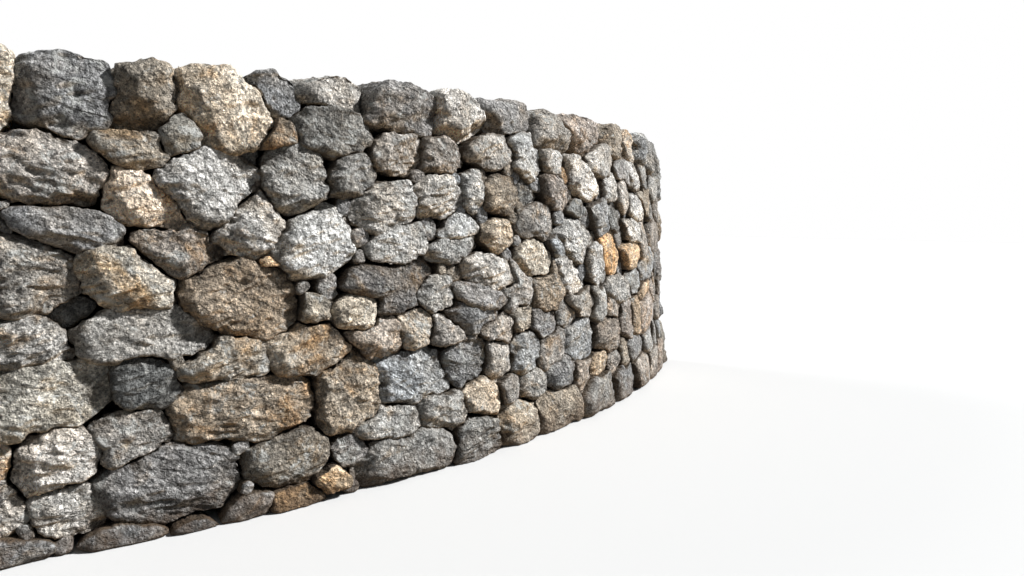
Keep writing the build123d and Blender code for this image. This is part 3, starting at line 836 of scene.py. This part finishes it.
def through_stone_shape(rng, stone, shoulder, spacing, seed):
    """A stone that lies through the wall: a rounded side to each face, and a barrel between them."""
    depth, power = shoulder
    whole = front_radius(stone.level) - back_radius(stone.level)
    crown = rng.uniform(0.0, THROUGH_CROWN)
    front, _, count = dome(rng, stone, depth, power, crown, spacing)
    rear = dome(rng, stone, depth, power, crown, spacing)[0] * (1, 1, -1) + (0, 0, -whole)
    edge = border(count)
    steps = max(int((whole - 2 * depth) / spacing / 1.4), 4)
    share = np.linspace(0, 1, steps + 1)[:, None, None]
    barrel = front.reshape(-1, 3)[edge] * (1 - share) + rear.reshape(-1, 3)[edge] * share
    barrel[..., :2] *= 1 + 0.03 * np.sin(pi * share)
    closed = np.concatenate((barrel, barrel[:, :2]), axis=1)
    barrel = roughen(closed[:, ::-1], seed)[0][:, ::-1][:, :-2]
    front = roughen(front, seed)[0].reshape(-1, 3)
    rear = roughen(rear[:, ::-1], seed)[0][:, ::-1].reshape(-1, 3)
    near_gap = (front[edge] - barrel[0]) * np.maximum(1 - 5 * share, 0)
    far_gap = (rear[edge] - barrel[-1]) * np.maximum(5 * share - 4, 0)
    barrel = (barrel + near_gap + far_gap)[1:-1].reshape(-1, 3)
    points = np.concatenate((front, rear, barrel))
    between = 2 * len(front) + np.arange(len(barrel)).reshape(-1, len(edge))
    rings = np.concatenate((edge[None], between, edge[None] + len(front)))
    quads = grid_quads(count)
    faces = np.concatenate((quads, quads[:, ::-1] + len(front), band(rings[:-1], rings[1:])))
    return points, faces, np.empty((0, 3), dtype=int), np.zeros(len(points))


def packing_stones(rng):
    """Rubble in the middle of the wall that closes the gaps under the cap boulders."""
    stones = []
    end = WALL_LENGTH / 2 - PACKING_MARGIN
    for along in np.arange(-end, end, PACKING_SIZE):
        tilt = rng.uniform(0, pi)
        radii = pebble_radii(rng, PACKING_SIZE, PACKING_HEIGHT, PEBBLE_SQUARENESS, tilt, PACKING_UNEVENNESS)
        level = rng.uniform(*PACKING_LEVELS)
        stones.append(Stone(along, level, radii, "dark", 0.1, setback=rng.uniform(*PACKING_SETBACKS)))
    return stones


# Meshes


class Heap:
    """Stones gathered into one mesh."""

    def __init__(self):
        self.parts = []
        self.count = 0

    def add(self, rng, stone, shape, place, out):
        """Lay a stone's shape on the wall, in its own tone and with its own stretch of the grain."""
        points, quads, triangles, deep = shape
        level = np.maximum(stone.level + points[:, 1], LOWEST)
        spots = place(stone.along + points[:, 0], level, points[:, 2] + out)
        spin = Matrix.Rotation(rng.uniform(0, 2 * pi), 3, "Y")
        tilt = Matrix.Rotation(GRAIN_TILT * rng.normal(), 3, "Z")
        grain = points @ np.array(spin @ tilt).T + rng.uniform(-GRAIN_SHIFT, GRAIN_SHIFT, 3)
        shade = rng.uniform(*SHADES)
        warmth = rng.normal() * WARMTH
        tone = np.array(PALETTE[stone.tone]) * shade * (1 + warmth, 1, 1 - warmth)
        tones = np.tile(np.append(tone ** DISPLAY_GAMMA, 1), (len(points), 1))
        lichen = np.full(len(points), rng.uniform(*LICHEN))
        cragginess = np.full(len(points), rng.uniform(0, 1))
        marks = np.stack((np.full(len(points), stone.rust), lichen, deep, cragginess), axis=-1)
        self.parts.append((spots, quads + self.count, triangles + self.count, grain, tones, marks))
        self.count += len(points)

    def mesh_object(self, name):
        spots, quads, triangles, grain, tones, marks = (np.concatenate(column) for column in zip(*self.parts))
        mesh = bpy.data.meshes.new(name)
        mesh.from_pydata(spots, [], [*quads.tolist(), *triangles.tolist()], shade_flat=False)
        for title, kind, field, values in (
            ("grain", "FLOAT_VECTOR", "vector", grain),
            ("tone", "FLOAT_COLOR", "color", tones),
            ("marks", "FLOAT_COLOR", "color", marks),
        ):
            mesh.attributes.new(title, kind, "POINT").data.foreach_set(field, values.ravel())
        mesh.validate()
        piece = bpy.data.objects.new(name, mesh)
        bpy.context.collection.objects.link(piece)
        return piece


# Nodes of the materials. A value is a number, a colour or the output of another node, and a new
# node joins the tree of the output that feeds it.


def connect(value, socket):
    if isinstance(value, bpy.types.NodeSocket):
        socket.id_data.links.new(value, socket)
    else:
        socket.default_value = value


def add_node(tree, kind, output, **inputs):
    """An output of a new node. Its inputs are named as in Blender, with _ for a space."""
    node = tree.nodes.new(f"ShaderNode{kind}")
    for name, value in inputs.items():
        connect(value, node.inputs[name.replace("_", " ")])
    return node.outputs[output]


def attribute(tree, name):
    """Outputs of a node that reads what the mesh stores under a name."""
    node = tree.nodes.new("ShaderNodeAttribute")
    node.attribute_name = name
    return node.outputs


def noise_node(place, scale, detail=4, roughness=0.6, distortion=0.0):
    return add_node(place.id_data, "TexNoise", "Fac", Vector=place, Scale=scale, Detail=detail,
                    Roughness=roughness, Distortion=distortion)


def crystal_node(place, scale):
    """A random value for each of many small cells."""
    colour = add_node(place.id_data, "TexVoronoi", "Color", Vector=place, Scale=scale)
    return add_node(place.id_data, "SeparateColor", "Red", Color=colour)


def stretched(place, scale):
    return add_node(place.id_data, "Mapping", "Vector", Vector=place, Scale=scale)


def spread(value, low, high, to_low, to_high):
    return add_node(value.id_data, "MapRange", "Result", Value=value, From_Min=low, From_Max=high,
                    To_Min=to_low, To_Max=to_high)


def calculate(operation, first, second):
    node = first.id_data.nodes.new("ShaderNodeMath")
    node.operation = operation
    connect(first, node.inputs[0])
    connect(second, node.inputs[1])
    return node.outputs["Value"]


plus = partial(calculate, "ADD")
times = partial(calculate, "MULTIPLY")


def ramp(value, stops):
    node = value.id_data.nodes.new("ShaderNodeValToRGB")
    connect(value, node.inputs["Fac"])
    elements = node.color_ramp.elements
    while len(elements) < len(stops):
        elements.new(0.5)
    for element, (position, level) in zip(elements, stops):
        element.position = position
        element.color = (level, level, level, 1)
    return node.outputs["Color"]


def blend(tree, mode, amount, first, second):
    node = tree.nodes.new("ShaderNodeMix")
    node.data_type = "RGBA"
    node.blend_type = mode
    sockets = {socket.identifier: socket for socket in (*node.inputs, *node.outputs)}
    connect(amount, sockets["Factor_Float"])
    connect(first, sockets["A_Color"])
    connect(second, sockets["B_Color"])
    return sockets["Result_Color"]


def seen_rays(tree):
    """1 for what the camera sees, also in a reflection or through glass, and 0 for other light."""
    path = tree.nodes.new("ShaderNodeLightPath").outputs
    seen = calculate("MAXIMUM", path["Is Camera Ray"], path["Is Glossy Ray"])
    return calculate("MAXIMUM", seen, path["Is Transmission Ray"])


def new_material(name):
    """A material, its nodes and the inputs of its shader."""
    material = bpy.data.materials.new(name)
    material.use_nodes = True
    tree = material.node_tree
    tree.nodes.clear()
    shader = tree.nodes.new("ShaderNodeBsdfPrincipled")
    connect(shader.outputs["BSDF"], tree.nodes.new("ShaderNodeOutputMaterial").inputs["Surface"])
    return material, tree, shader.inputs


def finish_surface(tree, shader, colour, roughness, height, relief):
    """Colour, roughness, and a bump whose height of 1 stands for a given relief."""
    connect(colour, shader["Base Color"])
    connect(roughness, shader["Roughness"])
    connect(add_node(tree, "Bump", "Normal", Strength=1.0, Distance=relief, Height=height), shader["Normal"])


# Granite. Patterns are the scale per metre, detail, roughness and distortion of a noise, and
# levels are how bright the stone is at values of its pattern.

BEDS = (14, 5, 0.48, 0.5)
BED_STRETCH = (0.55, 1.5, 0.55)
BED_LEVELS = ((0.35, 0.80), (0.5, 1.0), (0.65, 1.18))
LUMPS = (30, 6, 0.46, 0.3)
LUMP_STRETCH = (0.9, 1.15, 0.9)
LUMP_LEVELS = ((0.32, 0.72), (0.5, 1.0), (0.68, 1.15))
MOTTLE = (9, 6, 0.62)
MOTTLE_LEVELS = ((0.25, 0.60), (0.5, 1.0), (0.78, 1.48))
BLOTCHES = (22, 4, 0.55, 0.3)
BLOTCH_LEVELS = ((0.32, 0.68), (0.5, 1.0), (0.68, 1.32))
COARSE_CRYSTALS = 105
COARSE_LEVELS = ((0.0, 0.34), (0.16, 0.72), (0.4, 1.0), (0.72, 1.14), (1.0, 1.85))
FINE_CRYSTALS = 260
FINE_LEVELS = ((0.0, 0.42), (0.2, 0.88), (0.75, 1.13), (1.0, 1.7))
BROWNING = (6, 5, 0.6, 0.4)
DARK_SPOTS = (60, 7, 0.70, 0.4)
PALE_CRUSTS = (17, 9, 0.75, 0.8)
RUST_PATCHES = (7, 6, 0.65, 0.6)
GRIME_AND_SHADE_EDGE = (22, 4)
FOOT_EDGE_NOISE = (12, 5, 0.65)
PITS = (95, 4, 0.6)
CRAGS = (11, 3)
NOISE_RANGE = (0.3, 0.7)        # where most values of a noise lie
STONE_RELIEF = 0.040

# Colours of its weathering and of its foot, and of painted shade at its rims and undersides
BROWN_TINT = (1.0, 0.91, 0.80, 1)
SPOT_COLOUR = (0.055, 0.055, 0.05, 1)
CRUST_COLOUR = (0.73, 0.735, 0.70, 1)
RUST_TINT = (0.97, 0.72, 0.46, 1)
# Undersides: a warm stain, and painted shade warmed by bounce light
UNDERSIDE_STAIN_AND_SHADE = (0.95, 0.74, 0.50, 1)
# Grime, and painted shade at the rims and in the hollows
GRIME_AND_SHADE_COLOUR = (0.11, 0.082, 0.055, 1)
# Colour of the stones towards the ground
FOOT_COLOUR = (0.13, 0.082, 0.048, 1)


def foot_darkening(tree):
    """How much darker and browner the stones get towards the ground."""
    place = add_node(tree, "TexCoord", "Object")
    level = add_node(tree, "SeparateXYZ", "Z", Vector=place)
    foot_wobble = spread(noise_node(place, *FOOT_EDGE_NOISE), *NOISE_RANGE, -0.10, 0.10)
    return spread(plus(level, foot_wobble), 0.0, 0.14, 0.65, 0.0)


def weathering(tree, grain, marks, mottle, grime_and_shade):
    """What lies on the stone, and painted shade: how it is laid on, how much of it there is, its colour."""
    rust = add_node(tree, "SeparateColor", "Red", Color=marks["Color"])
    lichen = rust.node.outputs["Green"]
    depth = rust.node.outputs["Blue"]
    crusts = plus(noise_node(grain, *PALE_CRUSTS), times(lichen, 0.08))
    patches = plus(noise_node(grain, *RUST_PATCHES), times(rust, 0.32))
    facing = add_node(tree, "SeparateXYZ", "Z", Vector=add_node(tree, "TexCoord", "Normal"))
    facing = plus(facing, spread(mottle, *NOISE_RANGE, 0.25, -0.25))
    ragged = plus(depth, spread(noise_node(grain, *GRIME_AND_SHADE_EDGE), *NOISE_RANGE, -0.30, 0.30))
    return (
        ("MIX", spread(noise_node(grain, *DARK_SPOTS), 0.54, 0.63, 0.0, 0.62), SPOT_COLOUR),
        ("MIX", spread(crusts, 0.585, 0.665, 0.0, 0.8), CRUST_COLOUR),
        ("MULTIPLY", spread(patches, 0.64, 0.78, 0.0, 0.85), RUST_TINT),
        # Stain and painted shade on the surfaces that face down
        ("MULTIPLY", spread(facing, -0.75, -0.15, 0.85, 0.0), UNDERSIDE_STAIN_AND_SHADE),
        # Grime and painted shade: darker and browner towards each stone's rim and in its hollows
        ("MIX", times(spread(ragged, 0.18, 0.85, 0.0, 1.0), grime_and_shade), GRIME_AND_SHADE_COLOUR),
        # Darker and browner towards the ground
        ("MIX", foot_darkening(tree), FOOT_COLOUR),
    )


def granite(name, speckle, grime_and_shade):
    """Weathered granite: crystals, mottling, lichen, rust, and grime and painted shade in the joints."""
    material, tree, shader = new_material(name)
    grain = attribute(tree, "grain")["Vector"]
    marks = attribute(tree, "marks")
    cragginess = marks["Alpha"]
    beds = noise_node(stretched(grain, BED_STRETCH), *BEDS)
    bedded = spread(cragginess, 0.45, 1.0, 0.0, 1.0)
    lumps = noise_node(stretched(grain, LUMP_STRETCH), *LUMPS)
    mottle = noise_node(grain, *MOTTLE)
    coarse = crystal_node(grain, COARSE_CRYSTALS)

    colour = attribute(tree, "tone")["Color"]
    for mode, amount, paint in (
        ("MULTIPLY", bedded, ramp(beds, BED_LEVELS)),
        ("MULTIPLY", 1.0, ramp(lumps, LUMP_LEVELS)),
        ("MULTIPLY", 1.0, ramp(mottle, MOTTLE_LEVELS)),
        ("MULTIPLY", 1.0, ramp(noise_node(grain, *BLOTCHES), BLOTCH_LEVELS)),
        ("MULTIPLY", spread(noise_node(grain, *BROWNING), 0.44, 0.64, 0.0, 0.7), BROWN_TINT),
        ("MULTIPLY", speckle, ramp(coarse, COARSE_LEVELS)),
        ("MULTIPLY", speckle, ramp(crystal_node(grain, FINE_CRYSTALS), FINE_LEVELS)),
        *weathering(tree, grain, marks, mottle, grime_and_shade),
    ):
        colour = blend(tree, mode, amount, colour, paint)

    pits = spread(noise_node(grain, *PITS), *NOISE_RANGE, 0.0, 0.42)
    height = plus(plus(spread(lumps, *NOISE_RANGE, 0.0, 0.72), pits), times(coarse, 0.14))
    height = times(height, spread(noise_node(grain, *CRAGS), 0.40, 0.62, 0.45, 1.1))
    height = times(height, spread(cragginess, 0, 1, 0.6, 1.2))
    height = plus(height, times(spread(beds, 0.42, 0.58, 0.0, 0.6), bedded))
    shader["Specular IOR Level"].default_value = 0.35
    finish_surface(tree, shader, colour, spread(mottle, *NOISE_RANGE, 0.95, 0.78), height, STONE_RELIEF)
    return material


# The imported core

RUBBLE_CELLS = 14       # stones per metre
# Near black: painted shade deep in the joints
RUBBLE_SHADE_LEVELS = ((0.0, 0.02), (1.0, 0.07))
EARTH = (30, 8, 0.7)
EARTH_LEVELS = ((0.3, 0.5), (0.7, 1.4))
EARTH_TINT = (1.0, 0.82, 0.62, 1)
RUBBLE_RELIEF = 0.03


def rubble(name):
    """Rubble, seen only through open joints, painted near black as shade there, with an earthy tint."""
    material, tree, shader = new_material(name)
    place = add_node(tree, "TexCoord", "Object")
    cells = crystal_node(place, RUBBLE_CELLS)
    earth = noise_node(place, *EARTH)
    colour = blend(tree, "MULTIPLY", 1.0, ramp(cells, RUBBLE_SHADE_LEVELS), ramp(earth, EARTH_LEVELS))
    colour = blend(tree, "MULTIPLY", 1.0, colour, EARTH_TINT)
    finish_surface(tree, shader, colour, 0.95, plus(cells, earth), RUBBLE_RELIEF)
    return material


# Building the wall

rng = np.random.default_rng(LAYING_SEED)

caps = cap_course(rng)
ends = {
    "left": end_stones(rng, LEFT_QUOINS, -1, COMMON_TONES),
    "right": end_stones(rng, RIGHT_QUOINS, 1, SHADED_RIGHT_END_TONES),
}
through = caps + ends["left"] + ends["right"]
seen = traced_stones(TRACED_STONES)
grow_traced(through + seen)
front_stones = seen + fill_face(rng, through + seen)
back_stones = fill_face(rng, [mirrored(stone) for stone in through])

first_joint = LEFT_QUOINS[-1][1] + CAP_JOINT / 2 - WALL_LENGTH / 2
bay_joints = first_joint + np.append(0, np.cumsum(BAY_LENGTHS))
heaps = {}


def heap_of(kind, along):
    """The heap of one kind in the bay at a distance along the wall."""
    bay = int(np.clip(np.searchsorted(bay_joints, along), 1, len(BAY_LENGTHS)))
    return heaps.setdefault(f"{kind}_{bay}", Heap())


seed = 0
for kind, stones, side, place, spacing in (
    ("front_stones", front_stones, 1, front_place, NEAR_SPACING),
    ("back_stones", back_stones, -1, back_place, FAR_SPACING),
):
    for stone in stones:
        seed += 1
        rng = np.random.default_rng(seed)
        along = side * stone.along
        shape = face_stone_shape(rng, stone, spacing * (1 + WIDER_SPACING * max(0.0, along)), seed)
        heap = heap_of("base_course" if stone.base else kind, along)
        heap.add(rng, stone, shape, place, BASE_STEP if stone.base else 0.0)

seed = CAP_SEED
for stone in caps:
    seed += 1
    rng = np.random.default_rng(seed)
    shape = through_stone_shape(rng, stone, CAP_SHOULDER, CAP_SPACING, seed)
    heap_of("cap_boulders", stone.along).add(rng, stone, shape, front_place, 0.0)
for stone in packing_stones(rng):
    seed += 1
    shape = face_stone_shape(rng, stone, FAR_SPACING, seed)
    heap_of("cap_boulders", stone.along).add(rng, stone, shape, front_place, 0.0)
for end_name, stones in ends.items():
    heap = heaps.setdefault(f"{end_name}_end_stones", Heap())
    for stone in stones:
        seed += 1
        shape = through_stone_shape(rng, stone, END_SHOULDER, FAR_SPACING, seed)
        heap.add(rng, stone, shape, front_place, BASE_STEP if stone.level < BASE_HEIGHT else 0.0)

# For each kind of heap: the CAD nodes that it replaces, their material slot, and its material, with
# how strongly its crystals show, and the grime and painted shade in its joints
finishes = {
    "front_stones": ("front_face", "face_granite", granite("face_granite", 0.9, 0.9)),
    "back_stones": ("back_face", "face_granite", granite("back_granite", 0.9, 0.9)),
    "base_course": ("base_stones", "base_granite", granite("base_granite", 0.8, 1.0)),
    "cap_boulders": ("cap_stones", "cap_granite", granite("cap_granite", 0.95, 0.0)),
    "left_end_stones": ("left_quoin", "quoin_granite", granite("left_quoin_granite", 0.85, 0.0)),
    "right_end_stones": ("right_quoin", "quoin_granite", granite("right_quoin_granite", 0.85, 0.0)),
}
for name, heap in heaps.items():
    piece = heap.mesh_object(name)
    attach(piece, "root")
    if name in finishes:
        node, slot, material = finishes[name]
        numbers = range(1, len(LEFT_QUOINS) + 1)
    else:
        kind, number = name.rsplit("_", 1)
        node, slot, material = finishes[kind]
        numbers = (number,)
    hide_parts(*(f"{node}_{number}" for number in numbers))
    piece.data.materials.append(material)

core = rubble("rubble_core")
for number in range(1, len(BAY_LENGTHS) + 1):
    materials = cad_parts[f"hearting_{number}"].data.materials
    materials.clear()
    materials.append(core)


# Floor, light and camera

FLOOR_REACH = 30
FLOOR_LIT = (0.16, 0.15, 0.14, 1)       # dark to the wall, so that the light stays on one side
FLOOR_SEEN = (0.745, 0.745, 0.74, 1)    # and pale to the eye
FILL_COLOUR = (0.82, 0.91, 1.0, 1)
FILL_STRENGTH = 0.125


def make_floor():
    mesh = bpy.data.meshes.new("floor")
    corners = [(x * FLOOR_REACH, y * FLOOR_REACH, 0) for x, y in ((-1, -1), (1, -1), (1, 1), (-1, 1))]
    mesh.from_pydata(corners, [], [(0, 1, 2, 3)])
    floor = bpy.data.objects.new("floor", mesh)
    bpy.context.collection.objects.link(floor)
    material, tree, shader = new_material("floor")
    connect(blend(tree, "MIX", seen_rays(tree), FLOOR_LIT, FLOOR_SEEN), shader["Base Color"])
    shader["Roughness"].default_value = 0.9
    mesh.materials.append(material)


def make_sun(name, azimuth, elevation, strength, softness):
    """A lamp whose light comes from an azimuth, 0 from the front and positive from the right."""
    lamp = bpy.data.lights.new(name, "SUN")
    lamp.energy = strength
    lamp.angle = radians(softness)
    sun = bpy.data.objects.new(name, lamp)
    towards = Vector((
        sin(radians(azimuth)) * cos(radians(elevation)),
        -cos(radians(azimuth)) * cos(radians(elevation)),
        sin(radians(elevation)),
    ))
    sun.rotation_euler = towards.to_track_quat("Z", "Y").to_euler()
    bpy.context.collection.objects.link(sun)


def make_world():
    """Even fill light, and a white background for the camera, for glossy rays and for glass."""
    world = bpy.data.worlds.new("studio")
    bpy.context.scene.world = world
    world.use_nodes = True
    tree = world.node_tree
    tree.nodes.clear()
    mix = tree.nodes.new("ShaderNodeMixShader")
    fill = add_node(tree, "Background", "Background", Color=FILL_COLOUR, Strength=FILL_STRENGTH)
    white = add_node(tree, "Background", "Background", Color=(1, 1, 1, 1), Strength=1.0)
    for source, socket in zip((seen_rays(tree), fill, white), mix.inputs):
        connect(source, socket)
    connect(mix.outputs["Shader"], tree.nodes.new("ShaderNodeOutputWorld").inputs["Surface"])


def make_camera():
    data = bpy.data.cameras.new("camera")
    data.lens = LENS
    data.sensor_width = SENSOR
    camera = bpy.data.objects.new("camera", data)
    camera.location = EYE
    camera.rotation_euler = Vector(AHEAD).to_track_quat("-Z", "Y").to_euler()
    bpy.context.collection.objects.link(camera)
    bpy.context.scene.camera = camera


make_floor()
make_sun("key", azimuth=50, elevation=38, strength=5.6, softness=5.0)
make_sun("back_fill", azimuth=200, elevation=22, strength=1.7, softness=40)
make_world()
make_camera()
bpy.context.scene.view_settings.view_transform = "Standard"
